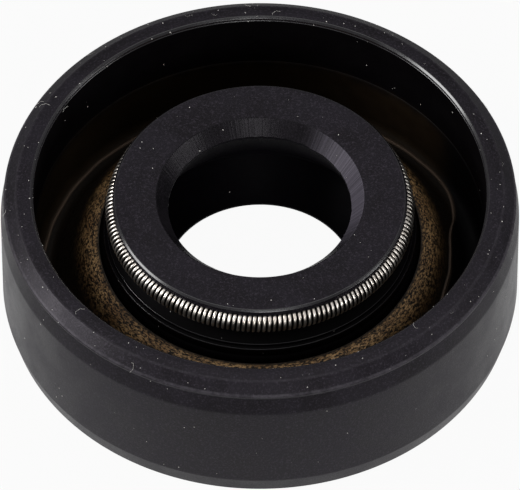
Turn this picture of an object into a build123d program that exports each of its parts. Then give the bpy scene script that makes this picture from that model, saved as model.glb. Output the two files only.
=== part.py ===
from build123d import *
from math import cos, pi, radians, sin, tan
import os

# A radial shaft seal for a 10 mm shaft in a 26 mm housing bore. All lengths are in millimetres.
# It stands on its air side, with its axis on Z, the origin at the centre of the air-side face
# and the oil side, where the garter spring lies, on top.

# Sizes that the seal is chosen by
shaft_diameter = 10.0
housing_diameter = 26.0
seal_height = 8.0

# Pressed steel case
case_thickness = 0.8
case_bend = 0.5            # width of the flat across the bend between wall and floor
floor_width = 1.0          # from the wall to where the flange rises
crown_width = 1.25         # level part of the flange, under the lip
crown_depth = 3.8          # that part below the rim

# Rubber round the case
jacket_thickness = 0.75    # over the outside wall
base_cover = 0.5           # under the floor of the case
dish_cover = 0.55          # under the dished flange
rim_cover = 0.6            # over the end of the case wall
lining_thickness = 0.1     # thin skin inside the rim
lining_depth = 3.4         # how far that skin runs down the wall
lining_taper = 0.15        # height over which it thins out
rim_edge = 0.1             # broken inner edge of the rim
rim_flat = 0.4             # level stretch of the rim's face
rim_fall_width = 0.4       # outside it the face falls gently
rim_fall = 0.13
rim_chamfer_height = 0.52
rim_taper_width = 0.25
rim_taper_height = 1.1
base_chamfer_width = 0.25
base_chamfer_height = 1.0

# Garter spring
wire_thickness = 0.2
coil_diameter = 1.2        # outside of the coil
spring_diameter = 14.3     # centre line of the closed ring
spring_turns = 187
turn_steps = 5             # straight stretches of wire in each turn
spring_seat = 0.02         # clearance between the coil and its groove

# Sealing lip
lip_interference = 0.8     # how much the free lip is smaller than the shaft, on the diameter
lip_edge_depth = 1.4       # middle of the sealing edge below the rim
lip_land = 0.15            # height of the trimmed sealing edge
spring_offset = 0.15       # spring centre below the sealing edge, towards the air side
head_diameter = 14.78      # outside of the lip's head
head_top_gap = 0.55        # the head stays this far below the rim
oil_cone_width = 0.6       # radial width of the cone above the sealing edge
air_cone_width = 1.05
air_cone_height = 2.2
cavity_diameter = 13.2     # grease space between the two lips
cavity_depth = 1.0         # its widest place below the crown of the case
cavity_cover = 0.9         # rubber between that space and the flange's inner edge

# Rubber below the spring groove
groove_flats = 3           # flats that make up the groove's round
groove_slope = 30          # degrees that the groove's lower side falls outwards
ridge_out = 0.31           # first ridge edge, out from the head
shoulder_out = 0.16        # second ridge edge, out and down from the first
shoulder_down = 0.44
neck_in = 0.08             # undercut between the second edge and the root
neck_rise = 0.3            # height of that undercut above the crown
root_width = 0.6           # how far the rubber reaches over the crown of the case

# Dust lip on the air side
dust_lip_gap = 0.44        # how much it is smaller than the shaft, on the diameter
dust_lip_height = 1.0
dust_lip_land = 0.2
dust_lip_root_thickness = 0.55
dust_lip_root_width = 0.5  # from the grease space to where the lip leaves the web

outer_radius = housing_diameter / 2
case_outer_radius = outer_radius - jacket_thickness
case_inner_radius = case_outer_radius - case_thickness
case_top = seal_height - rim_cover
case_bore_radius = cavity_diameter / 2 + cavity_cover
floor_height = base_cover + case_thickness
crown_height = seal_height - crown_depth
lip_edge_height = seal_height - lip_edge_depth
spring_radius = spring_diameter / 2
spring_height = lip_edge_height - spring_offset
groove_radius = coil_diameter / 2 + spring_seat


def parallel(corners, distance):
    """Corners of the line that runs beside another one, to the left of its direction."""
    points = [Vector(*corner) for corner in corners]
    ways = [(b - a).normalized() for a, b in zip(points, points[1:])]
    normals = [Vector(-way.Y, way.X) for way in ways]
    moved = []
    for index, point in enumerate(points):
        before = normals[max(index - 1, 0)]
        after = normals[min(index, len(normals) - 1)]
        moved.append(point + (before + after) * (distance / (1 + before.dot(after))))
    return [(point.X, point.Y) for point in moved]


def turned(corners):
    """A ring from the corners of its section, each a radius and a height."""
    return revolve(make_face(Plane.XZ * Polyline(*corners, close=True)), Axis.Z)


# The case's upper surface, from the end of its wall to the inner edge of its flange
case_line = [
    (case_inner_radius, case_top),
    (case_inner_radius, floor_height + case_bend),
    (case_inner_radius - case_bend, floor_height),
    (case_inner_radius - floor_width, floor_height),
    (case_bore_radius + crown_width, crown_height),
    (case_bore_radius, crown_height),
]


def make_metal_case():
    """Steel strip drawn into a wall, a floor and a dished flange that ends under the lip."""
    return turned(case_line + parallel(case_line, case_thickness)[::-1])


def rim_corners():
    """Oil-side rim and outside wall, from the skin inside the wall down to the air side."""
    lining_radius = case_inner_radius - lining_thickness
    lining_end = seal_height - lining_depth
    taper_radius = outer_radius - rim_taper_width
    chamfer_radius = lining_radius + rim_flat + rim_fall_width
    chamfer_top = seal_height - rim_fall
    taper_top = chamfer_top - rim_chamfer_height
    base_radius = outer_radius - base_chamfer_width
    return [
        (case_inner_radius, lining_end - lining_taper),
        (lining_radius, lining_end),
        (lining_radius, seal_height - rim_edge),
        (lining_radius + rim_edge, seal_height),
        (lining_radius + rim_flat, seal_height),
        (chamfer_radius, chamfer_top),
        (taper_radius, taper_top),
        (outer_radius, taper_top - rim_taper_height),
        (outer_radius, base_chamfer_height),
        (base_radius, 0),
    ]


def air_side_corners():
    """Air side, from the flat ring that the seal stands on to the dust lip and the space above it."""
    under = parallel(case_line, case_thickness + dish_cover)
    foot, crown = Vector(*under[3]), Vector(*under[4])
    base_inner = foot + (crown - foot) * (-foot.Y / (crown.Y - foot.Y))
    dust_radius = (shaft_diameter - dust_lip_gap) / 2
    cavity_radius = cavity_diameter / 2
    cavity_height = crown_height - cavity_depth
    return [
        (base_inner.X, 0),
        (crown.X, crown.Y),
        (cavity_radius + dust_lip_root_width, crown.Y),
        (dust_radius, dust_lip_height),
        (dust_radius, dust_lip_height + dust_lip_land),
        (cavity_radius, cavity_height - dust_lip_root_thickness / 2),
        (cavity_radius, cavity_height + dust_lip_root_thickness / 2),
    ]


def lip_corners():
    """Main lip, from its air-side cone over the sealing edge to the outside of its head."""
    edge_radius = (shaft_diameter - lip_interference) / 2
    edge_top = lip_edge_height + lip_land / 2
    edge_bottom = lip_edge_height - lip_land / 2
    head_radius = head_diameter / 2
    head_top = seal_height - head_top_gap
    return [
        (edge_radius + air_cone_width, edge_bottom - air_cone_height),
        (edge_radius, edge_bottom),
        (edge_radius, edge_top),
        (edge_radius + oil_cone_width, head_top),
        (head_radius, head_top),
        (head_radius, spring_height + groove_radius),
    ]


def groove_corners():
    """Spring groove: flats that touch a circle round the coil, from its top to its sloping lower side."""
    turn = radians(180 - groove_slope) / groove_flats
    reach = groove_radius / cos(turn / 2)
    angles = [pi / 2 + turn * (flat + 0.5) for flat in range(groove_flats)]
    return [(spring_radius + reach * cos(angle), spring_height + reach * sin(angle)) for angle in angles]


def neck_corners():
    """Below the spring, from the end of the groove's lower side to the root on the crown of the case."""
    groove_end = groove_corners()[-1]
    ridge_radius = head_diameter / 2 + ridge_out
    ridge_height = groove_end[1] - (ridge_radius - groove_end[0]) * tan(radians(groove_slope))
    shoulder_radius = ridge_radius + shoulder_out
    return [
        (ridge_radius, ridge_height),
        (shoulder_radius, ridge_height - shoulder_down),
        (shoulder_radius - neck_in, crown_height + neck_rise),
        (case_bore_radius + root_width, crown_height),
    ]


def corners_inside_steel():
    """From root to lining the section runs inside the steel, which is then taken out of it."""
    inside = parallel(case_line, case_thickness / 2)
    root = (case_bore_radius + root_width, inside[-1][1])
    lining_foot = (inside[0][0], seal_height - lining_depth - lining_taper)
    return [root] + inside[-2:0:-1] + [lining_foot]


def make_rubber_body():
    """One moulding: jacket, rim, web, main lip with its spring groove, and dust lip."""
    outside = rim_corners() + air_side_corners() + lip_corners() + groove_corners() + neck_corners()
    return turned(outside + corners_inside_steel()) - make_metal_case()


def make_garter_spring():
    """Close-wound coil of one wire, bent into a ring until its ends meet.

    The wire lies in straight stretches. Its section is a triangle with a flat face outwards.
    """
    outside = coil_diameter / 2
    inside = outside - wire_thickness / cos(pi / turn_steps)
    wire_corners = [(outside, -wire_thickness / 2), (outside, wire_thickness / 2), (inside, 0)]

    def wire_section(step):
        coil_angle = 2 * pi * step / turn_steps
        ring_angle = coil_angle / spring_turns
        outwards = Vector(cos(ring_angle), sin(ring_angle), 0)
        along = Vector(-sin(ring_angle), cos(ring_angle), 0)
        centre = outwards * spring_radius + Vector(0, 0, spring_height)
        spoke = outwards * cos(coil_angle) + Vector(0, 0, sin(coil_angle))
        return [centre + spoke * reach + along * shift for reach, shift in wire_corners]

    sections = [wire_section(step) for step in range(spring_turns * turn_steps)]
    faces = []
    for here, there in zip(sections, sections[1:] + sections[:1]):
        for side in range(len(wire_corners)):
            after = (side + 1) % len(wire_corners)
            faces.append(Face(Wire.make_polygon([here[side], here[after], there[after]])))
            faces.append(Face(Wire.make_polygon([here[side], there[after], there[side]])))
    return Solid(Shell(faces))


parts = {
    "rubber_body": make_rubber_body(),
    "metal_case": make_metal_case(),
    "garter_spring": make_garter_spring(),
}

os.makedirs("parts", exist_ok=True)
for name, part in parts.items():
    export_step(part, f"parts/{name}.step")
    print(name, "volume", round(part.volume, 2), "mm3")
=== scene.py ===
import math
import bmesh
import bpy
from mathutils import Matrix, Vector, noise


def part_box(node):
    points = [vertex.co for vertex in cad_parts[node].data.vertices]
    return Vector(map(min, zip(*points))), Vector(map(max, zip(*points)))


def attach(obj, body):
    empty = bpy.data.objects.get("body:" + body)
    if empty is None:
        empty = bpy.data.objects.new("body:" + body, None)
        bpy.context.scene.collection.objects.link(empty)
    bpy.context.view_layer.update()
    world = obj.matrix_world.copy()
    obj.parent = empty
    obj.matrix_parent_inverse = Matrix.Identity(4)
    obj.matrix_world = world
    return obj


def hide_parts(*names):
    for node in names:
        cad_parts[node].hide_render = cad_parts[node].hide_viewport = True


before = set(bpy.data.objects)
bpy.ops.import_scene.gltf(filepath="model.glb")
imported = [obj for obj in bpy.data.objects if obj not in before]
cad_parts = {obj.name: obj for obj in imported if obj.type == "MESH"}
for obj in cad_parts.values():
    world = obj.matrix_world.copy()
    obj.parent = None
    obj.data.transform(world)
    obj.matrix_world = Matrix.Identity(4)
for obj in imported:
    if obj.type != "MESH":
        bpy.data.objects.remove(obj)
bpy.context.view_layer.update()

MM = 0.001  # the seal's sizes are in millimetres, and its meshes in metres


# Metal case
# One pressing of steel strip: a wall, a floor and a flange dished up under the lip. Before moulding it was
# dipped in a phenolic bonding agent, which baked to a mottled golden brown film.

def parallel(corners, distance):
    """Corners of the line that runs beside another one, to the left of its direction."""
    points = [Vector(corner) for corner in corners]
    ways = [(b - a).normalized() for a, b in zip(points, points[1:])]
    normals = [Vector((-way.y, way.x)) for way in ways]
    moved = []
    for index, point in enumerate(points):
        before = normals[max(index - 1, 0)]
        after = normals[min(index, len(normals) - 1)]
        moved.append(tuple(point + (before + after) * (distance / (1 + before.dot(after)))))
    return moved


def rounded(corners, arc_step=math.radians(12), guard=0.15):
    """The points of an outline with arcs in its corners, each given as its radius, height and bend radius.

    A guard point a little beyond each end of an arc keeps the shading of the straight stretches level.
    """
    outline = []
    for index, (r, z, bend) in enumerate(corners):
        corner = Vector((r, z))
        if bend == 0:
            outline.append(corner)
            continue
        back = (Vector(corners[index - 1][:2]) - corner).normalized()
        on = (Vector(corners[(index + 1) % len(corners)][:2]) - corner).normalized()
        half = back.angle(on) / 2
        setback = bend / math.tan(half)
        centre = corner + (back + on).normalized() * (bend / math.sin(half))
        start = corner + back * setback - centre
        end = corner + on * setback - centre
        turn = math.atan2(start.x * end.y - start.y * end.x, start.dot(end))
        steps = max(2, math.ceil(abs(turn) / arc_step))
        outline.append(corner + back * (setback + guard * bend))
        outline += [centre + Matrix.Rotation(turn * step / steps, 2) @ start for step in range(steps + 1)]
        outline.append(corner + on * (setback + guard * bend))
    return outline


ring_steps = 360


def turned(name, section):
    """A ring round the axis. Its closed section runs clockwise and may change with the angle."""
    vertices, faces = [], []
    for step in range(ring_steps):
        angle = 2 * math.pi * step / ring_steps
        outline = section(angle) if callable(section) else section
        vertices += [(r * MM * math.cos(angle), r * MM * math.sin(angle), z * MM) for r, z in outline]
    count = len(outline)
    for step in range(ring_steps):
        here, there = step * count, (step + 1) % ring_steps * count
        for index in range(count):
            after = (index + 1) % count
            faces.append((here + index, here + after, there + after, there + index))
    mesh = bpy.data.meshes.new(name)
    mesh.from_pydata(vertices, [], faces)
    mesh.shade_smooth()
    piece = bpy.data.objects.new(name, mesh)
    bpy.context.scene.collection.objects.link(piece)
    return piece


def linear(hex_colour):
    """An sRGB hex colour as linear red, green, blue and alpha."""
    values = [int(hex_colour[start:start + 2], 16) / 255 for start in (1, 3, 5)]
    return [v / 12.92 if v <= 0.04045 else ((v + 0.055) / 1.055) ** 2.4 for v in values] + [1.0]


def add(tree, kind, inputs=None, **settings):
    """Adds a node with its settings, sets or links each input, and returns the node's outputs."""
    node = tree.nodes.new(kind)
    for name, value in settings.items():
        setattr(node, name, value)
    for name, value in (inputs or {}).items():
        if isinstance(value, bpy.types.NodeSocket):
            tree.links.new(value, node.inputs[name])
        else:
            node.inputs[name].default_value = value
    return node.outputs


def new_material(name, constants):
    """A material whose shader has the given constant inputs, with its tree and its shader."""
    material = bpy.data.materials.new(name)
    material.use_nodes = True
    shader = material.node_tree.nodes["Principled BSDF"]
    for socket, value in constants.items():
        shader.inputs[socket].default_value = value
    return material, material.node_tree, shader


def place_of(tree):
    """Object coordinates, distance from the axis and height, in metres, and the direction outwards."""
    place = add(tree, "ShaderNodeTexCoord")["Object"]
    split = add(tree, "ShaderNodeSeparateXYZ", {"Vector": place})
    across = add(tree, "ShaderNodeCombineXYZ", {"X": split["X"], "Y": split["Y"]})["Vector"]
    reach = add(tree, "ShaderNodeVectorMath", {0: across}, operation="LENGTH")["Value"]
    outwards = add(tree, "ShaderNodeVectorMath", {0: across}, operation="NORMALIZE")["Vector"]
    return place, reach, split["Z"], outwards


def coated(tree, under, over, where, start, end, least=0.0, most=1.0):
    """Lays one colour over another, from least to most of it as the value where goes from start to end."""
    share = add(tree, "ShaderNodeMapRange", {
        "Value": where, "From Min": start, "From Max": end, "To Min": least, "To Max": most,
    }, interpolation_type="SMOOTHSTEP")["Result"]
    return add(tree, "ShaderNodeMix", {0: share, 6: under, 7: over}, data_type="RGBA")[2]


case_thickness = 0.8
case_bend = 0.5
dish_rise = 2.9
case_bore_radius = 7.5
dish_foot_radius = 10.45
dish_crown_radius = 8.75
case_low, case_high = (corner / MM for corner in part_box("metal_case"))
case_inner_radius = case_high.x - case_thickness
floor_height = case_low.z + case_thickness
crown_height = floor_height + dish_rise

# The case's upper surface, from the end of its wall to the inner edge of its flange
case_line = [
    (case_inner_radius, case_high.z),
    (case_inner_radius, floor_height),
    (dish_foot_radius, floor_height),
    (dish_crown_radius, crown_height),
    (case_bore_radius, crown_height),
]
upper_bends = (0, case_bend, case_bend, case_bend + case_thickness, 0)
under_bends = (0, case_bend + case_thickness, 0, 0, 0)
case_upper = rounded([(r, z, bend) for (r, z), bend in zip(case_line, upper_bends)])
case_under = rounded([(r, z, bend) for (r, z), bend in zip(parallel(case_line, case_thickness), under_bends)])

film_cloud_size = 1.3
film_fleck_size = 0.09
film_pore_size = 0.075
film_vein_spacing = 0.17
film_stretch = 3.2            # radius at which its pattern runs round; under the real one, to draw it out
root_dark_band = (8.1, 8.32)      # radii between which the dark film beside the rubber's root turns golden
# The next two darkenings of the film are painted shade, for the channel under the rim
crown_shade = (8.5, 9.5)      # radii between which the golden crown darkens down the slope
wall_shade = (10.5, 11.2)     # radii between which the slope's brown turns to that of the wall


def make_bonding_film():
    """Baked phenolic bonding agent on steel: satin ochre, painted darker off the crown as painted shade.

    It dries in dark pores and cracks, drawn out round the case by the dipping, over soft clouds. Real pores
    are finer than those drawn.
    """
    material, tree, shader = new_material(
        "phenolic_film_on_steel", {"Metallic": 0.3, "Specular IOR Level": 0.25})
    place, reach, height, outwards = place_of(tree)
    around = add(tree, "ShaderNodeVectorMath", {0: outwards, "Scale": film_stretch * MM},
                 operation="SCALE")["Vector"]
    profile = add(tree, "ShaderNodeCombineXYZ", {"Z": reach})["Vector"]
    drawn_out = add(tree, "ShaderNodeVectorMath", {0: around, 1: profile}, operation="ADD")["Vector"]
    clouds = add(tree, "ShaderNodeTexNoise", {
        "Vector": place, "Scale": 1 / (film_cloud_size * MM), "Detail": 4, "Roughness": 0.6,
    })["Fac"]
    flecks = add(tree, "ShaderNodeTexNoise", {
        "Vector": place, "Scale": 1 / (film_fleck_size * MM), "Detail": 2, "Roughness": 0.6,
    })["Fac"]
    pores = add(tree, "ShaderNodeTexNoise", {
        "Vector": drawn_out, "Scale": 1 / (film_pore_size * MM), "Detail": 4, "Roughness": 0.7,
    })["Fac"]
    veins = add(tree, "ShaderNodeTexVoronoi", {
        "Vector": drawn_out, "Scale": 1 / (film_vein_spacing * MM), "Randomness": 1.0,
    }, feature="DISTANCE_TO_EDGE")["Distance"]
    golden = coated(tree, linear("#765838"), linear("#a4835a"), clouds, 0.3, 0.7)
    crown = coated(tree, golden, linear("#cbb189"), flecks, 0.6, 0.75, most=0.7)
    # Painted shade: darker browns down the slope and on the wall
    slope = coated(tree, crown, linear("#1a1209"), reach, crown_shade[0] * MM, crown_shade[1] * MM)
    wall = coated(tree, slope, linear("#120d07"), reach, wall_shade[0] * MM, wall_shade[1] * MM)
    dark_at_root = coated(tree, linear("#1c1712"), wall, reach, root_dark_band[0] * MM, root_dark_band[1] * MM)
    porous = coated(tree, dark_at_root, linear("#0f0904"), pores, 0.44, 0.57, least=1.0, most=0.0)
    veined = coated(tree, porous, linear("#140d07"), veins, 0.02, 0.12, least=0.5, most=0.0)
    tree.links.new(veined, shader.inputs["Base Color"])
    roughness = add(tree, "ShaderNodeMapRange", {
        "Value": pores, "From Min": 0.3, "From Max": 0.7, "To Min": 0.62, "To Max": 0.42,
    }, interpolation_type="SMOOTHSTEP")
    tree.links.new(roughness["Result"], shader.inputs["Roughness"])
    relief = add(tree, "ShaderNodeBump", {"Strength": 0.5, "Distance": 0.02 * MM, "Height": pores})
    tree.links.new(relief["Normal"], shader.inputs["Normal"])
    return material


metal_case = turned("pressed_case", case_under + case_upper[::-1])
metal_case.data.materials.append(make_bonding_film())
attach(metal_case, "root")
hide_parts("metal_case")


# Rubber body
# One black nitrile moulding, bonded to the case: jacket, rim, web, main lip with its spring groove, and dust
# lip. It was pressed in a hot steel mould, and only the cone above the sealing edge was cut afterwards.

rubber_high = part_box("rubber_body")[1] / MM
outer_radius = rubber_high.x
seal_height = rubber_high.z

# Rim and outside: the skin inside the wall, a fine step at its top, the rim's face and two chamfers, with the
# ridge that the mould's parting line left between them
lining_thickness = 0.1
lining_radius = case_inner_radius - lining_thickness
lining_end = 4.6
lining_taper = 0.15
step_width = 0.03
step_low, step_high, edge_low_end = (seal_height - depth for depth in (0.24, 0.22, 0.1))
rim_edge_radius = lining_radius + 0.13
rim_face_radius = lining_radius + 0.4
chamfer_radius = 12.22
chamfer_height = seal_height - 0.06
taper_radius = 12.82
taper_height = 7.45
taper_end = 6.25
base_radius = 12.75
base_chamfer_height = 1.0
rim = [
    (case_inner_radius, lining_end - lining_taper, 0),
    (lining_radius, lining_end, 0.05),
    (lining_radius, step_low, 0.03),
    (lining_radius + step_width, step_high, 0.02),
    (lining_radius + step_width, edge_low_end, 0.03),
    (rim_edge_radius, seal_height, 0.05),
    (rim_face_radius, seal_height, 0.1),
    (chamfer_radius, chamfer_height, 0.1),
    (taper_radius, taper_height, 0.04),
    (taper_radius + 0.03, taper_height - 0.06, 0.02),
    (taper_radius - 0.02, taper_height - 0.2, 0.1),
    (outer_radius, taper_end, 0.6),
    (outer_radius, base_chamfer_height, 0.3),
    (base_radius, 0, 0.06),
]

# Air side: the web follows the dished flange, and the dust lip leaves it
dish_cover = 0.55
web_under = parallel(case_line, case_thickness + dish_cover)
web_foot, web_crown = Vector(web_under[2]), Vector(web_under[3])
web_base = web_foot + (web_crown - web_foot) * (-web_foot.y / (web_crown.y - web_foot.y))
dust_lip_radius = 4.78
dust_lip_low, dust_lip_high = 1.0, 1.2
dust_lip_root = 7.1
cavity_radius = 6.6
cavity_low, cavity_high = 2.925, 3.475
air_side = [
    (web_base.x, 0, 0.15),
    (*web_crown, 0.3),
    (dust_lip_root, web_crown.y, 0.2),
    (dust_lip_radius, dust_lip_low, 0.04),
    (dust_lip_radius, dust_lip_high, 0.04),
    (cavity_radius, cavity_low, 0.12),
    (cavity_radius, cavity_high, 0.12),
]

# Main lip: the air-side cone, the sealing edge, the trimmed cone and the head
air_cone_radius, air_cone_low = 5.65, 4.325
sealing_radius = 4.6
edge_low, edge_high = 6.525, 6.675
trimmed_radius = 5.2
head_radius = 7.39
head_top = seal_height - 0.55
head_bevel = 0.1
lip = [
    (air_cone_radius, air_cone_low, 0.15),
    (sealing_radius, edge_low, 0.01),
    (sealing_radius, edge_high, 0.01),
    (trimmed_radius, head_top, 0.05),
    (head_radius - head_bevel, head_top, 0.05),
    (head_radius, head_top - head_bevel, 0.05),
]

# Groove and neck: the groove's round ends in a slope, with two ridges and an undercut below it
spring_ring_radius = 7.15
spring_height = 6.45
groove_radius = 0.62
groove_slope = math.radians(30)
groove_top = spring_height + groove_radius
groove_foot = (spring_ring_radius - groove_radius * math.sin(groove_slope),
               spring_height - groove_radius * math.cos(groove_slope))
groove_tip = groove_foot[0] - (groove_top - groove_foot[1]) / math.tan(groove_slope)
ridge_radius, shoulder_radius, root_radius = 7.70, 7.86, 8.1
ridge_height = 5.2
shoulder_height = ridge_height - 0.22
undercut = 0.08
neck = [
    (head_radius, groove_top, 0.04),
    (groove_tip, groove_top, groove_radius),
    (ridge_radius, ridge_height, 0.05),
    (ridge_radius + 0.02, ridge_height - 0.13, 0.03),
    (shoulder_radius, shoulder_height, 0.06),
    (shoulder_radius, crown_height + 0.45, 0.1),
    (shoulder_radius - undercut, crown_height + 0.3, 0.1),
    (root_radius, crown_height, 0),
]

mould_grain = 0.1
bloom_size = 2.2
wear_and_highlight_size = 0.5
dust_spacing = 0.55


def make_rubber(name, tones, roughness, constants, dusty=0.0, worn_and_highlit_edges=()):
    """Carbon-black nitrile rubber in three tones: body, pale clouds of bloom, and a speckle of mould grain.

    The grain is coarser than the real one. Each edge, a radius, a height, a width and a paleness, is painted
    greyer, partly as rubbed wear and partly as a painted highlight along it, and dusty is the share of places
    0.55 mm apart that hold a speck of dust. Returns the material, its tree, its shader, its places, its
    colour and its grain.
    """
    body, bloom, speckle = (linear(tone) for tone in tones)
    material, tree, shader = new_material(name, constants)
    places = place_of(tree)
    place, reach, height, outwards = places
    grain = add(tree, "ShaderNodeTexNoise", {
        "Vector": place, "Scale": 1 / (mould_grain * MM), "Detail": 4, "Roughness": 0.7,
    })["Fac"]
    clouds = add(tree, "ShaderNodeTexNoise", {
        "Vector": place, "Scale": 1 / (bloom_size * MM), "Detail": 4, "Roughness": 0.6,
    })["Fac"]
    colour = coated(tree, body, bloom, clouds, 0.3, 0.7)
    colour = coated(tree, colour, speckle, grain, 0.48, 0.72)
    if worn_and_highlit_edges:
        profile = add(tree, "ShaderNodeCombineXYZ", {"X": reach, "Y": height})["Vector"]
        wear_and_highlight_noise = add(tree, "ShaderNodeTexNoise", {
            "Vector": place, "Scale": 1 / (wear_and_highlight_size * MM), "Detail": 4, "Roughness": 0.7,
        })["Fac"]
    for radius, z, width, paleness in worn_and_highlit_edges:
        away = add(tree, "ShaderNodeVectorMath", {0: profile, 1: (radius * MM, z * MM, 0)},
                   operation="DISTANCE")["Value"]
        wear_and_highlight = add(tree, "ShaderNodeMapRange", {
            "Value": wear_and_highlight_noise, "From Min": 0.35, "From Max": 0.6, "To Min": 0.35 * paleness, "To Max": paleness,
        }, interpolation_type="SMOOTHSTEP")
        # Painted highlight along each edge, with some rubbed wear: the colour turns pale grey there
        colour = coated(tree, colour, linear("#4a474c"), away, width * 0.4 * MM, width * MM,
                        least=wear_and_highlight["Result"], most=0.0)
    if dusty:
        cells = add(tree, "ShaderNodeTexVoronoi", {"Vector": place, "Scale": 1 / (dust_spacing * MM)})
        chosen = add(tree, "ShaderNodeMapRange", {
            "Value": cells["Color"], "From Min": 1 - dusty, "From Max": 1.02 - dusty,
        }, interpolation_type="SMOOTHSTEP")
        colour = coated(tree, colour, linear("#8f8b88"), cells["Distance"], 0.05, 0.09,
                        least=chosen["Result"], most=0.0)
    tree.links.new(colour, shader.inputs["Base Color"])
    uneven = add(tree, "ShaderNodeMapRange", {
        "Value": clouds, "From Min": 0.3, "From Max": 0.7,
        "To Min": roughness - 0.04, "To Max": roughness + 0.06,
    }, interpolation_type="SMOOTHSTEP")
    tree.links.new(uneven["Result"], shader.inputs["Roughness"])
    return material, tree, shader, places, colour, grain


def make_moulded_rubber():
    """The outside and the top, from a blasted mould: matt and greyish with bloom.

    Its edges are paler, partly rubbed wear and partly painted highlight.
    """
    material, tree, shader, places, colour, grain = make_rubber(
        "matt_moulded_nitrile", ("#0b090c", "#131116", "#2d2930"), 0.4,
        {"Specular IOR Level": 0.18, "Specular Tint": (0.97, 0.9, 1.0, 1.0)}, dusty=0.16,
        worn_and_highlit_edges=((chamfer_radius, chamfer_height, 0.1, 0.15), (taper_radius, taper_height, 0.14, 0.45)))
    relief = add(tree, "ShaderNodeBump", {"Strength": 0.6, "Distance": 0.015 * MM, "Height": grain})
    tree.links.new(relief["Normal"], shader.inputs["Normal"])
    return material


def make_polished_rubber():
    """The sharp edges, from polished corners of the mould's cores: smooth, and bright where a lamp shows."""
    material, tree, shader, places, colour, grain = make_rubber(
        "core_polished_nitrile", ("#0f0d10", "#171519", "#1c1a1e"), 0.22,
        {"Specular IOR Level": 0.6}, dusty=0.05)
    relief = add(tree, "ShaderNodeBump", {"Strength": 0.12, "Distance": 0.008 * MM, "Height": grain})
    tree.links.new(relief["Normal"], shader.inputs["Normal"])
    return material


lathe_ring_spacing = 0.07


def make_bore_rubber():
    """The cones on the air side, from a turned core, with fine lathe rings round them: painted shade, near
    black.
    """
    material, tree, shader, places, colour, grain = make_rubber(
        "ring_marked_shaded_nitrile", ("#040306", "#070509", "#0b090d"), 0.4,
        {"Specular IOR Level": 0.02}, dusty=0.05)
    place, reach, height, outwards = places
    profile = add(tree, "ShaderNodeCombineXYZ", {"X": reach, "Y": height})
    rings = add(tree, "ShaderNodeTexNoise", {
        "Vector": profile["Vector"], "Scale": 1 / (lathe_ring_spacing * MM), "Detail": 2, "Roughness": 0.7,
    })
    relief = add(tree, "ShaderNodeBump", {"Strength": 0.6, "Distance": 0.012 * MM, "Height": rings["Fac"]})
    tree.links.new(relief["Normal"], shader.inputs["Normal"])
    return material


hatch_spacing = 0.09
glint_side = (0.98, 0.2, 0)


def make_trimmed_rubber():
    """The cone cut by a knife, with a fine hatch across the cut, painted paler on one side as painted glints.
    """
    material, tree, shader, places, colour, grain = make_rubber(
        "knife_trimmed_nitrile", ("#0b0a0c", "#121013", "#201d22"), 0.38,
        {"Specular IOR Level": 0.1, "Specular Tint": (0.97, 0.92, 1.0, 1.0)})
    place, reach, height, outwards = places
    around = add(tree, "ShaderNodeVectorMath", {0: outwards, "Scale": sealing_radius * MM}, operation="SCALE")
    hatch = add(tree, "ShaderNodeTexNoise", {
        "Vector": around["Vector"], "Scale": 1 / (hatch_spacing * MM), "Detail": 2, "Roughness": 0.6,
    })["Fac"]
    side = add(tree, "ShaderNodeVectorMath", {0: outwards, 1: glint_side}, operation="DOT_PRODUCT")
    painted_glints = add(tree, "ShaderNodeMapRange", {
        "Value": hatch, "From Min": 0.35, "From Max": 0.65, "To Min": 0.4, "To Max": 0.85,
    }, interpolation_type="SMOOTHSTEP")
    # Painted glints: the hatch turns paler grey on one side of the cone, where light falls on it
    glinted_colour = coated(tree, colour, linear("#524e57"), side["Value"], 0.6, 0.98, most=painted_glints["Result"])
    tree.links.new(glinted_colour, shader.inputs["Base Color"])
    relief = add(tree, "ShaderNodeBump", {"Strength": 0.6, "Distance": 0.03 * MM, "Height": hatch})
    tree.links.new(relief["Normal"], shader.inputs["Normal"])
    return material


brown_limit = (4.3, 5.4)  # heights on the wall, raised by up to brown_wander, between which brown turns black
brown_wander, wander_size = 0.9, 0.8
wall_start = (10.8, 11.0)  # radii between which the wall begins


def low_on_wall(tree, place, height):
    """1 low on the case's wall and 0 high on it, with an uneven limit about halfway up."""
    wander = add(tree, "ShaderNodeTexNoise", {
        "Vector": place, "Scale": 1 / (wander_size * MM), "Detail": 4, "Roughness": 0.7,
    })["Fac"]
    uneven = add(tree, "ShaderNodeMath", {0: wander, 1: brown_wander * MM, 2: height},
                 operation="MULTIPLY_ADD")["Value"]
    return add(tree, "ShaderNodeMapRange", {
        "Value": uneven, "From Min": brown_limit[0] * MM, "From Max": brown_limit[1] * MM,
        "To Min": 1.0, "To Max": 0.0,
    }, interpolation_type="SMOOTHSTEP")["Result"]


def make_shaded_rubber():
    """The groove, the neck and the skin inside the rim: painted shade, near black and with next to no sheen.

    Low on the wall that skin thins out, and the brown film shows through it in clouds, dark partly from the
    skin and partly as painted shade.
    """
    material, tree, shader, places, colour, grain = make_rubber(
        "painted_shade_nitrile", ("#040304", "#060506", "#090709"), 0.5, {"Specular IOR Level": 0.03})
    place, reach, height, outwards = places
    thin = coated(tree, colour, linear("#170f08"), reach, wall_start[0] * MM, wall_start[1] * MM,
                  most=low_on_wall(tree, place, height))
    tree.links.new(thin, shader.inputs["Base Color"])
    relief = add(tree, "ShaderNodeBump", {"Strength": 0.12, "Distance": 0.008 * MM, "Height": grain})
    tree.links.new(relief["Normal"], shader.inputs["Normal"])
    return material


matt, polished, ring_marked, trimmed, shaded = range(5)
finish_makers = (make_moulded_rubber, make_polished_rubber, make_bore_rubber,
                 make_trimmed_rubber, make_shaded_rubber)


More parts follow.
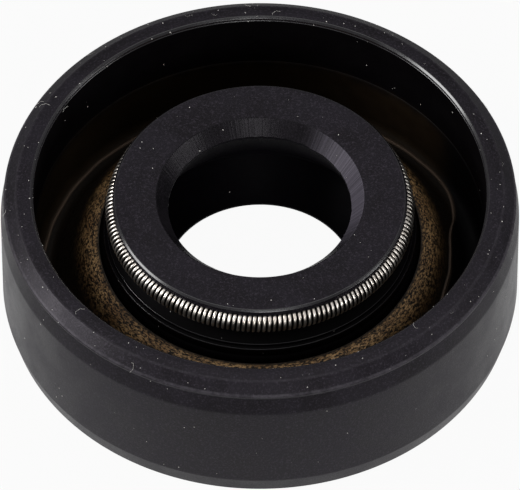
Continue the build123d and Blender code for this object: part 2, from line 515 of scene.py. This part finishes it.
def finish_at(r, z):
    """Which of the body's five finishes a place on its section has. The margins take in rounded corners."""
    on_rim_edge = abs(r - lining_radius - 0.08) < 0.1 and z > seal_height - 0.27
    on_head_edge = abs(r - head_radius + 0.05) < 0.08 and z > head_top - 0.12
    on_lining = lining_radius - 0.05 < r < case_inner_radius and z < edge_low_end
    on_ridge = min(math.dist((r, z), ridge) for ridge in (
        (ridge_radius, ridge_height), (shoulder_radius, shoulder_height))) < 0.07
    under_head = head_radius - 0.9 < r < root_radius + 0.1 and crown_height - 0.1 < z < groove_top + 0.01
    if on_rim_edge or on_head_edge:
        return polished
    # The lining and the place under the head take the painted-shade finish
    if on_lining:
        return shaded
    if on_ridge:
        return polished
    if under_head:
        return shaded
    if r < trimmed_radius + 0.05 and edge_high < z < head_top:
        return trimmed
    # The air side's cones take the ring-marked finish, darkened as painted shade
    if r < cavity_radius + 0.01 and dust_lip_low < z < edge_high:
        return ring_marked
    return matt


steel_side = [Vector(point) for point in (case_upper[-1], *case_under[::-1], case_upper[0])]
body_section = rounded(rim + air_side + lip + neck) + steel_side
rubber_body = turned("rubber_moulding", body_section)
for make in finish_makers:
    rubber_body.data.materials.append(make())
for index, (here, there) in enumerate(zip(body_section, body_section[1:] + body_section[:1])):
    finish = finish_at(*((here + there) / 2))
    for step in range(ring_steps):
        rubber_body.data.polygons[step * len(body_section) + index].material_index = finish

# The trimmed edge wanders by a few hundredths, as the knife tears the rubber a little
tear_length = 0.5
tear_out, tear_up = 0.02, 0.045
for vertex in rubber_body.data.vertices:
    x, y, z = vertex.co / MM
    reach = math.hypot(x, y)
    if reach < sealing_radius + 0.02 and edge_low - 0.03 < z < edge_high + 0.03:
        tear = noise.fractal(Vector((x, y, 0)) / tear_length, 1.0, 2.0, 3)
        vertex.co.x += x / reach * tear_out * tear * MM
        vertex.co.y += y / reach * tear_out * tear * MM
        vertex.co.z += tear_up * tear * MM
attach(rubber_body, "root")
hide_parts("rubber_body")


# Flash on the case
# A skin of rubber that crept between the mould's core and the case, from the lining down over the floor, and
# ends in a low bead. On one side more crept in, and the skin there is thick enough to look black.

flash_thickness = 0.03
flash_seat = 0.01          # how deep its underside is let into the steel's surface
flash_start = lining_end + 0.06
flash_overlap = 0.004      # how far it stands over the lining where they meet
flash_run_in = 1.6         # length over which it thins from the lining's thickness to its own
flash_steps = 32
edge_taper = 0.04          # length over which its edge thins to nothing
edge_wander = 0.05         # how far its edge strays from an even line
edge_waviness = 7
bead_height, bead_width, bead_sharpness = 0.07, 0.09, 1.6
bead_step = 27.5           # which step of the skin, from the wall to its edge, lies on the bead
bead_spread = 4            # steps from there to where the bead's paler colour, a painted highlight, ends
usual_reach = 10.93        # radius at which it ends
crept_reach = 9.5          # radius at which it ends on the side where more crept in
crept_from, crept_to = math.radians(-105), math.radians(33)
creep_slope = math.radians(30)
thickest_at = math.radians(-36)
flash_cloud_size = 0.9
flash_grain_size = 0.12

walk = [0.0]
for here, there in zip(case_upper, case_upper[1:]):
    walk.append(walk[-1] + (there - here).length)


def on_case(distance):
    """The point on the case's upper surface at that distance along its section, and the normal there."""
    index = max(i for i in range(len(walk) - 1) if walk[i] <= distance)
    here, there = case_upper[index], case_upper[index + 1]
    way = (there - here).normalized()
    return here + way * (distance - walk[index]), Vector((way.y, -way.x))


def smooth(value):
    """0 below 0, 1 above 1, and a soft step between."""
    value = min(max(value, 0.0), 1.0)
    return value * value * (3 - 2 * value)


def creep(angle):
    """How far the thick skin goes at an angle round the axis, from 0 to 1."""
    angle = (angle + math.pi) % (2 * math.pi) - math.pi
    return smooth((angle - crept_from) / creep_slope) * smooth((crept_to - angle) / creep_slope)


def distance_to(radius):
    """Distance along the case's section to where it comes in to that radius."""
    for index in range(len(case_upper) - 1):
        here, there = case_upper[index], case_upper[index + 1]
        if here.x >= radius > there.x:
            return walk[index] + (walk[index + 1] - walk[index]) * (here.x - radius) / (here.x - there.x)
    return walk[-1]


def flash_section(angle):
    """Section of the skin at an angle: along the steel from wall to edge, and back along the skin's top."""
    wander = noise.noise(Vector((math.cos(angle), math.sin(angle), 0)) * edge_waviness) * edge_wander
    edge = distance_to(usual_reach + (crept_reach - usual_reach) * creep(angle) + wander)
    start = case_high.z - flash_start
    top, steel = [], []
    for step in range(flash_steps + 1):
        distance = start + (edge - start) * (1 - (1 - step / flash_steps) ** 2)
        point, normal = on_case(distance)
        from_edge = edge - distance
        from_bead = (from_edge - bead_width) / bead_width
        rise = flash_thickness + bead_height * math.exp(-from_bead ** 2 * bead_sharpness)
        run_in = 1 - smooth((distance - start) / flash_run_in)
        rise += (lining_thickness + flash_overlap - flash_thickness) * run_in
        rise *= smooth(from_edge / edge_taper)
        top.append(point + normal * rise)
        steel.append(point - normal * flash_seat)
    return steel + top[::-1]


def make_flash_rubber():
    """Nitrile a few hundredths thick: brown where the film shows through it, black where it is thicker."""
    material, tree, shader = new_material("nitrile_flash", {"Specular IOR Level": 0.06})
    place, reach, height, outwards = place_of(tree)
    thick_side = (math.cos(thickest_at), math.sin(thickest_at), 0)
    side = add(tree, "ShaderNodeVectorMath", {0: outwards, 1: thick_side}, operation="DOT_PRODUCT")["Value"]
    clouds = add(tree, "ShaderNodeTexNoise", {
        "Vector": place, "Scale": 1 / (flash_cloud_size * MM), "Detail": 3,
    })["Fac"]
    grain = add(tree, "ShaderNodeTexNoise", {
        "Vector": place, "Scale": 1 / (flash_grain_size * MM), "Detail": 3,
    })["Fac"]
    bead_highlight = add(tree, "ShaderNodeAttribute", attribute_name="bead_highlight")["Fac"]
    # The film's brown here is darker than the case's: partly the thin rubber over it, partly painted shade
    film = add(tree, "ShaderNodeMix", {0: clouds, 6: linear("#120c06"), 7: linear("#1e160d")},
               data_type="RGBA")[2]
    brown = add(tree, "ShaderNodeMix", {0: low_on_wall(tree, place, height), 6: linear("#060506"), 7: film},
                data_type="RGBA")[2]
    skin = coated(tree, brown, linear("#060506"), side, 0.25, 0.42)
    # The bead is painted paler: a painted highlight along its crest
    bead_lit_colour = add(tree, "ShaderNodeMix", {0: bead_highlight, 6: skin, 7: linear("#56493f")}, data_type="RGBA")[2]
    tree.links.new(bead_lit_colour, shader.inputs["Base Color"])
    roughness = add(tree, "ShaderNodeMapRange", {
        "Value": clouds, "From Min": 0.3, "From Max": 0.7, "To Min": 0.5, "To Max": 0.62,
    }, interpolation_type="SMOOTHSTEP")
    tree.links.new(roughness["Result"], shader.inputs["Roughness"])
    relief = add(tree, "ShaderNodeBump", {"Strength": 0.25, "Distance": 0.01 * MM, "Height": grain})
    tree.links.new(relief["Normal"], shader.inputs["Normal"])
    return material


flash = turned("core_flash", flash_section)
bead_highlight = flash.data.attributes.new("bead_highlight", "FLOAT", "POINT")
points_around = 2 * (flash_steps + 1)
for index in range(len(flash.data.vertices)):
    step = points_around - 1 - index % points_around
    bead_highlight.data[index].value = smooth(1 - abs(step - bead_step) / bead_spread)
flash.data.materials.append(make_flash_rubber())
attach(flash, "root")


# Garter spring
# Bright drawn spring steel wire, wound close into one long coil whose ends are joined into a ring.
# It is stretched over the lip's head and sits in the groove, where it presses the lip on the shaft.

wire_thickness = 0.2
coil_diameter = 1.2
coil_turns = 187
shade_depth, bright_depth = 0.545, 0.58  # how far from the coil's centre line the painted shade ends and bare steel begins
stain_size = 0.7


def make_spring_wire():
    """Hard-drawn spring steel: bare and bright on the turns' crests, dark with painted shade between them."""
    material, tree, shader = new_material("drawn_spring_steel", {"Metallic": 1.0})
    place, reach, height, outwards = place_of(tree)
    stain = add(tree, "ShaderNodeTexNoise", {
        "Vector": place, "Scale": 1 / (stain_size * MM), "Detail": 2,
    })["Fac"]
    bright = coated(tree, linear("#cdc5bc"), linear("#efe9e1"), stain, 0.35, 0.65)
    profile = add(tree, "ShaderNodeCombineXYZ", {"X": reach, "Y": height})["Vector"]
    centre = (spring_ring_radius * MM, spring_height * MM, 0)
    depth = add(tree, "ShaderNodeVectorMath", {0: profile, 1: centre}, operation="DISTANCE")["Value"]
    shaded_turns = coated(tree, linear("#1a1410"), bright, depth, shade_depth * MM, bright_depth * MM)
    tree.links.new(shaded_turns, shader.inputs["Base Color"])
    roughness = add(tree, "ShaderNodeMapRange", {
        "Value": stain, "From Min": 0.3, "From Max": 0.7, "To Min": 0.3, "To Max": 0.38,
    }, interpolation_type="SMOOTHSTEP")
    tree.links.new(roughness["Result"], shader.inputs["Roughness"])
    return material


def new_geometry_tree(name, sockets):
    """A geometry tree with one output and the named inputs. Returns the tree and its inputs."""
    tree = bpy.data.node_groups.new(name, "GeometryNodeTree")
    tree.interface.new_socket("Geometry", in_out="OUTPUT", socket_type="NodeSocketGeometry")
    for socket, kind in sockets.items():
        tree.interface.new_socket(socket, in_out="INPUT", socket_type=f"NodeSocket{kind}")
    return tree, add(tree, "NodeGroupInput")


def make_coil_tree():
    """Geometry nodes: a wire that winds round a ring, a whole number of turns, until it meets itself."""
    tree, given = new_geometry_tree("close_wound_ring_coil", {
        "Ring Radius": "Float", "Ring Height": "Float", "Coil Radius": "Float", "Wire Radius": "Float",
        "Turns": "Int", "Steps per Turn": "Int", "Wire Sides": "Int", "Material": "Material",
    })
    index = add(tree, "GeometryNodeInputIndex")["Index"]
    count = add(tree, "ShaderNodeMath", {0: given["Turns"], 1: given["Steps per Turn"]}, operation="MULTIPLY")
    line = add(tree, "GeometryNodeMeshLine", {"Count": count["Value"]})
    angle = add(tree, "ShaderNodeMath", {0: index, 1: 2 * math.pi}, operation="MULTIPLY")["Value"]
    coil_angle = add(tree, "ShaderNodeMath", {0: angle, 1: given["Steps per Turn"]},
                     operation="DIVIDE")["Value"]
    ring_angle = add(tree, "ShaderNodeMath", {0: coil_angle, 1: given["Turns"]},
                     operation="DIVIDE")["Value"]
    coil_cosine = add(tree, "ShaderNodeMath", {0: coil_angle}, operation="COSINE")["Value"]
    coil_sine = add(tree, "ShaderNodeMath", {0: coil_angle}, operation="SINE")["Value"]
    ring_cosine = add(tree, "ShaderNodeMath", {0: ring_angle}, operation="COSINE")["Value"]
    ring_sine = add(tree, "ShaderNodeMath", {0: ring_angle}, operation="SINE")["Value"]
    out = add(tree, "ShaderNodeMath", {0: given["Coil Radius"], 1: coil_cosine},
              operation="MULTIPLY")["Value"]
    up = add(tree, "ShaderNodeMath", {0: given["Coil Radius"], 1: coil_sine},
             operation="MULTIPLY")["Value"]
    reach = add(tree, "ShaderNodeMath", {0: given["Ring Radius"], 1: out}, operation="ADD")["Value"]
    place = add(tree, "ShaderNodeCombineXYZ", {
        "X": add(tree, "ShaderNodeMath", {0: reach, 1: ring_cosine}, operation="MULTIPLY")["Value"],
        "Y": add(tree, "ShaderNodeMath", {0: reach, 1: ring_sine}, operation="MULTIPLY")["Value"],
        "Z": add(tree, "ShaderNodeMath", {0: given["Ring Height"], 1: up}, operation="ADD")["Value"],
    })
    moved = add(tree, "GeometryNodeSetPosition", {"Geometry": line["Mesh"], "Position": place["Vector"]})
    curve = add(tree, "GeometryNodeMeshToCurve", {"Mesh": moved["Geometry"]})
    closed = add(tree, "GeometryNodeSetSplineCyclic", {"Geometry": curve["Curve"], "Cyclic": True})
    wire = add(tree, "GeometryNodeCurvePrimitiveCircle", {
        "Resolution": given["Wire Sides"], "Radius": given["Wire Radius"],
    })
    coil = add(tree, "GeometryNodeCurveToMesh", {"Curve": closed["Geometry"], "Profile Curve": wire["Curve"]})
    shaded_coil = add(tree, "GeometryNodeSetShadeSmooth", {"Geometry": coil["Mesh"]})
    real = add(tree, "GeometryNodeRealizeInstances", {"Geometry": shaded_coil["Geometry"]})
    steel = add(tree, "GeometryNodeSetMaterial", {
        "Geometry": real["Geometry"], "Material": given["Material"],
    })
    add(tree, "NodeGroupOutput", {"Geometry": steel["Geometry"]})
    return tree


def grown(name, tree, inputs):
    """The mesh that a geometry tree makes with the given inputs, as a plain object."""
    seedling = bpy.data.objects.new(name + "_tree", bpy.data.meshes.new(name + "_tree"))
    bpy.context.scene.collection.objects.link(seedling)
    modifier = seedling.modifiers.new("Grow", "NODES")
    modifier.node_group = tree
    sockets = {item.name: item.identifier for item in tree.interface.items_tree if item.in_out == "INPUT"}
    for socket, value in inputs.items():
        modifier[sockets[socket]] = value
    seen = seedling.evaluated_get(bpy.context.evaluated_depsgraph_get())
    piece = bpy.data.objects.new(name, bpy.data.meshes.new_from_object(seen))
    seedling.modifiers.remove(modifier)
    bpy.data.objects.remove(seedling)
    bpy.context.scene.collection.objects.link(piece)
    return piece


spring = grown("garter_spring_coil", make_coil_tree(), {
    "Ring Radius": spring_ring_radius * MM,
    "Ring Height": spring_height * MM,
    "Coil Radius": (coil_diameter - wire_thickness) / 2 * MM,
    "Wire Radius": wire_thickness / 2 * MM,
    "Turns": coil_turns,
    "Steps per Turn": 28,
    "Wire Sides": 10,
    "Material": make_spring_wire(),
})
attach(spring, "root")
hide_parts("garter_spring")


# Dust
# House dust settled on the rubber since it was moulded: pale specks a few hundredths of a millimetre across,
# closest together on the rim, and on the rim a few short curled textile fibres.

dust_cloud_size = 0.8
steepest_facing = -0.1  # how far up, from -1 to 1, a face has to look for dust to lie on it
lowest_dust = 0.5


def make_dust():
    """Cotton and skin dust: dull, pale grey."""
    material, tree, shader = new_material("house_dust", {"Roughness": 0.95, "Specular IOR Level": 0.2})
    clouds = add(tree, "ShaderNodeTexNoise", {
        "Vector": add(tree, "ShaderNodeTexCoord")["Object"], "Scale": 1 / (dust_cloud_size * MM), "Detail": 2,
    })["Fac"]
    grey = add(tree, "ShaderNodeMix", {0: clouds, 6: linear("#a09d99"), 7: linear("#dedbd6")},
               data_type="RGBA")[2]
    tree.links.new(grey, shader.inputs["Base Color"])
    return material


def make_dust_tree():
    """Geometry nodes: copies of one grain settle on faces that look up or sideways, and more on the rim."""
    tree, given = new_geometry_tree("settled_dust", {
        "Surface": "Object", "Grain": "Object", "Per Square Metre": "Float", "Times on Rim": "Float",
        "Rim Radius": "Float", "Rim Height": "Float", "Smallest": "Float", "Largest": "Float",
        "Seed": "Int", "Material": "Material",
    })
    surface = add(tree, "GeometryNodeObjectInfo", {"Object": given["Surface"]})["Geometry"]
    grain = add(tree, "GeometryNodeObjectInfo", {"Object": given["Grain"]})["Geometry"]
    place = add(tree, "ShaderNodeSeparateXYZ", {"Vector": add(tree, "GeometryNodeInputPosition")["Position"]})
    facing = add(tree, "ShaderNodeSeparateXYZ", {"Vector": add(tree, "GeometryNodeInputNormal")["Normal"]})
    across = add(tree, "ShaderNodeCombineXYZ", {"X": place["X"], "Y": place["Y"]})["Vector"]
    reach = add(tree, "ShaderNodeVectorMath", {0: across}, operation="LENGTH")["Value"]
    upwards = add(tree, "ShaderNodeMath", {0: facing["Z"], 1: steepest_facing},
                  operation="GREATER_THAN")["Value"]
    raised = add(tree, "ShaderNodeMath", {0: place["Z"], 1: lowest_dust * MM},
                 operation="GREATER_THAN")["Value"]
    open_to_air = add(tree, "ShaderNodeMath", {0: upwards, 1: raised}, operation="MULTIPLY")["Value"]
    outside = add(tree, "ShaderNodeMath", {0: reach, 1: given["Rim Radius"]},
                  operation="GREATER_THAN")["Value"]
    high = add(tree, "ShaderNodeMath", {0: place["Z"], 1: given["Rim Height"]},
               operation="GREATER_THAN")["Value"]
    on_rim = add(tree, "ShaderNodeMath", {0: outside, 1: high}, operation="MULTIPLY")["Value"]
    more = add(tree, "ShaderNodeMath", {0: on_rim, 1: given["Times on Rim"], 2: 1.0},
               operation="MULTIPLY_ADD")["Value"]
    density = add(tree, "ShaderNodeMath", {0: given["Per Square Metre"], 1: more},
                  operation="MULTIPLY")["Value"]
    points = add(tree, "GeometryNodeDistributePointsOnFaces", {
        "Mesh": surface, "Selection": open_to_air, "Density": density, "Seed": given["Seed"],
    })
    spin = add(tree, "FunctionNodeRandomValue", {1: (0, 0, 2 * math.pi), "Seed": given["Seed"]},
               data_type="FLOAT_VECTOR")[0]
    lying = add(tree, "FunctionNodeRotateRotation", {"Rotation": points["Rotation"], "Rotate By": spin},
                rotation_space="LOCAL")
    size = add(tree, "FunctionNodeRandomValue", {
        2: given["Smallest"], 3: given["Largest"], "Seed": given["Seed"],
    })[1]
    copies = add(tree, "GeometryNodeInstanceOnPoints", {
        "Points": points["Points"], "Instance": grain, "Rotation": lying["Rotation"], "Scale": size,
    })
    real = add(tree, "GeometryNodeRealizeInstances", {"Geometry": copies["Instances"]})
    dusty = add(tree, "GeometryNodeSetMaterial", {
        "Geometry": real["Geometry"], "Material": given["Material"],
    })
    add(tree, "NodeGroupOutput", {"Geometry": dusty["Geometry"]})
    return tree


def make_speck():
    """A lump of dust, 1 mm across before it is scaled down, flatter than wide."""
    lump_size, flatness = 0.3, 0.6
    shape = bmesh.new()
    bmesh.ops.create_icosphere(shape, subdivisions=1, radius=0.5 * MM)
    for vertex in shape.verts:
        vertex.co *= 1 + 0.5 * noise.noise(vertex.co / (lump_size * MM))
        vertex.co.z *= flatness
    mesh = bpy.data.meshes.new("speck")
    shape.to_mesh(mesh)
    return bpy.data.objects.new("speck", mesh)


def make_fibre():
    """A textile fibre that curls as it lies, 1 mm long before it is scaled down."""
    thickness, stretches = 0.022, 14
    curve = bpy.data.curves.new("fibre", "CURVE")
    curve.dimensions = "3D"
    curve.bevel_depth = thickness / 2 * MM
    curve.bevel_resolution = 1
    curve.use_fill_caps = True
    line = curve.splines.new("POLY")
    line.points.add(stretches)
    for index, point in enumerate(line.points):
        share = index / stretches
        x = share - 0.5
        y = 0.22 * math.sin(4.2 * share) + 0.06 * math.sin(11 * share)
        z = 0.02 + 0.03 * math.sin(math.pi * share)
        point.co = (x * MM, y * MM, z * MM, 1)
    holder = bpy.data.objects.new("fibre", curve)
    bpy.context.scene.collection.objects.link(holder)
    bpy.context.view_layer.update()
    mesh = bpy.data.meshes.new_from_object(holder.evaluated_get(bpy.context.evaluated_depsgraph_get()))
    bpy.data.objects.remove(holder)
    return bpy.data.objects.new("fibre", mesh)


dust_tree = make_dust_tree()
dust_material = make_dust()
rim_dust_height = taper_height - 0.1
for name, shape, per_mm2, times_on_rim, smallest, largest, seed in (
        ("dust_specks", make_speck(), 0.14, 5.0, 0.02, 0.07, 4),
        ("dust_fibres", make_fibre(), 0.001, 90.0, 0.2, 0.55, 5)):
    bpy.context.scene.collection.objects.link(shape)
    dust = grown(name, dust_tree, {
        "Surface": rubber_body,
        "Grain": shape,
        "Per Square Metre": per_mm2 / MM ** 2,
        "Times on Rim": times_on_rim,
        "Rim Radius": lining_radius * MM,
        "Rim Height": rim_dust_height * MM,
        "Smallest": smallest,
        "Largest": largest,
        "Seed": seed,
        "Material": dust_material,
    })
    bpy.data.objects.remove(shape)
    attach(dust, "root")


# Studio
# A white paper floor under the seal, a broad soft light overhead, a strong lamp at the left, one low at the
# right and a weak one in front. From here on lengths are in metres.

floor_size = 1.6
floor_drop = 0.00002  # just clear of the face that the seal stands on
near_paper, far_paper = 0.016, 0.026    # radii between which the paper's painted reflection in the seal darkens
near_white, far_white = 0.95, 0.03


def make_white_floor():
    """White paper. The camera sees it near to plain white, with a trace of the seal's shadow.

    In reflections the paper glows as a painted reflection: the seal's sides mirror it bright for the first
    few millimetres and dark beyond. From underneath it is clear, so that the seal's air side can be looked
    at.
    """
    material, tree, shader = new_material("white_paper", {"Base Color": linear("#8c8c8c"), "Roughness": 0.9})
    path = add(tree, "ShaderNodeLightPath")
    place, reach, height, outwards = place_of(tree)
    painted_reflection = add(tree, "ShaderNodeMapRange", {
        "Value": reach, "From Min": near_paper, "From Max": far_paper,
        "To Min": near_white, "To Max": far_white,
    }, interpolation_type="SMOOTHSTEP")["Result"]
    direct = add(tree, "ShaderNodeMath", {0: path["Is Camera Ray"], 1: near_white},
                 operation="MULTIPLY")["Value"]
    glossy = add(tree, "ShaderNodeMath", {0: path["Is Glossy Ray"], 1: painted_reflection},
                 operation="MULTIPLY")["Value"]
    share = add(tree, "ShaderNodeMath", {0: direct, 1: glossy}, operation="MAXIMUM")["Value"]
    white = add(tree, "ShaderNodeEmission", {"Color": (1, 1, 1, 1), "Strength": 1.0})["Emission"]
    paper = add(tree, "ShaderNodeMixShader", {0: share, 1: shader.outputs["BSDF"], 2: white})["Shader"]
    underside = add(tree, "ShaderNodeNewGeometry")["Backfacing"]
    clear = add(tree, "ShaderNodeBsdfTransparent")["BSDF"]
    sided = add(tree, "ShaderNodeMixShader", {0: underside, 1: paper, 2: clear})["Shader"]
    tree.links.new(sided, tree.nodes["Material Output"].inputs["Surface"])
    return material


half = floor_size / 2
floor_corners = [(x, y, -floor_drop) for x, y in ((-half, -half), (half, -half), (half, half), (-half, half))]
floor_mesh = bpy.data.meshes.new("floor")
floor_mesh.from_pydata(floor_corners, [], [(0, 1, 2, 3)])
floor = bpy.data.objects.new("floor", floor_mesh)
floor.data.materials.append(make_white_floor())
bpy.context.scene.collection.objects.link(floor)

seal_centre = Vector((0, 0, 0.004))
for name, place, size, watts in (
        ("overhead_softbox", (0, 0.03, 0.5), 0.6, 1.1),
        ("left_softbox", (-0.55, -0.02, 0.27), 0.28, 2.8),
        ("right_softbox", (0.58, -0.13, 0.1), 0.22, 1.5),
        ("front_softbox", (0.05, -0.53, 0.26), 0.2, 1.2)):
    light = bpy.data.lights.new(name, "AREA")
    light.size = size
    light.energy = watts
    softbox = bpy.data.objects.new(name, light)
    softbox.location = place
    softbox.rotation_euler = (seal_centre - Vector(place)).to_track_quat("-Z", "Y").to_euler()
    bpy.context.scene.collection.objects.link(softbox)

world = bpy.data.worlds.new("studio")
world.use_nodes = True
bpy.context.scene.world = world
sky = world.node_tree
seen = add(sky, "ShaderNodeLightPath")["Is Camera Ray"]
soft = add(sky, "ShaderNodeBackground", {"Color": (1, 1, 1, 1), "Strength": 0.3})["Background"]
plain = add(sky, "ShaderNodeBackground", {"Color": (1, 1, 1, 1), "Strength": 1.0})["Background"]
both = add(sky, "ShaderNodeMixShader", {0: seen, 1: soft, 2: plain})["Shader"]
sky.links.new(both, sky.nodes["World Output"].inputs["Surface"])


# Camera
# Half a metre away and 51 degrees above the floor, so that the view is nearly parallel. The small turns and
# the focal length, in pixels of the picture, lay the render over the photograph.

camera_distance = 0.5
camera_elevation = math.radians(50.808)
aim_above_centre = math.radians(0.266)
camera_roll = math.radians(-0.124)
focal_pixels, picture_width = 9872.0, 520
camera = bpy.data.cameras.new("camera")
camera.sensor_width = 36.0
camera.lens = focal_pixels / picture_width * camera.sensor_width
camera.clip_start, camera.clip_end = 0.05, 5.0
view = bpy.data.objects.new("camera", camera)
back = camera_distance * math.cos(camera_elevation)
up = camera_distance * math.sin(camera_elevation)
tilt = Matrix.Rotation(math.pi / 2 - camera_elevation + aim_above_centre, 4, "X")
view.matrix_world = Matrix.Translation((0, -back, up)) @ tilt @ Matrix.Rotation(camera_roll, 4, "Z")
bpy.context.scene.collection.objects.link(view)
bpy.context.scene.camera = view
bpy.context.scene.view_settings.view_transform = "Standard"
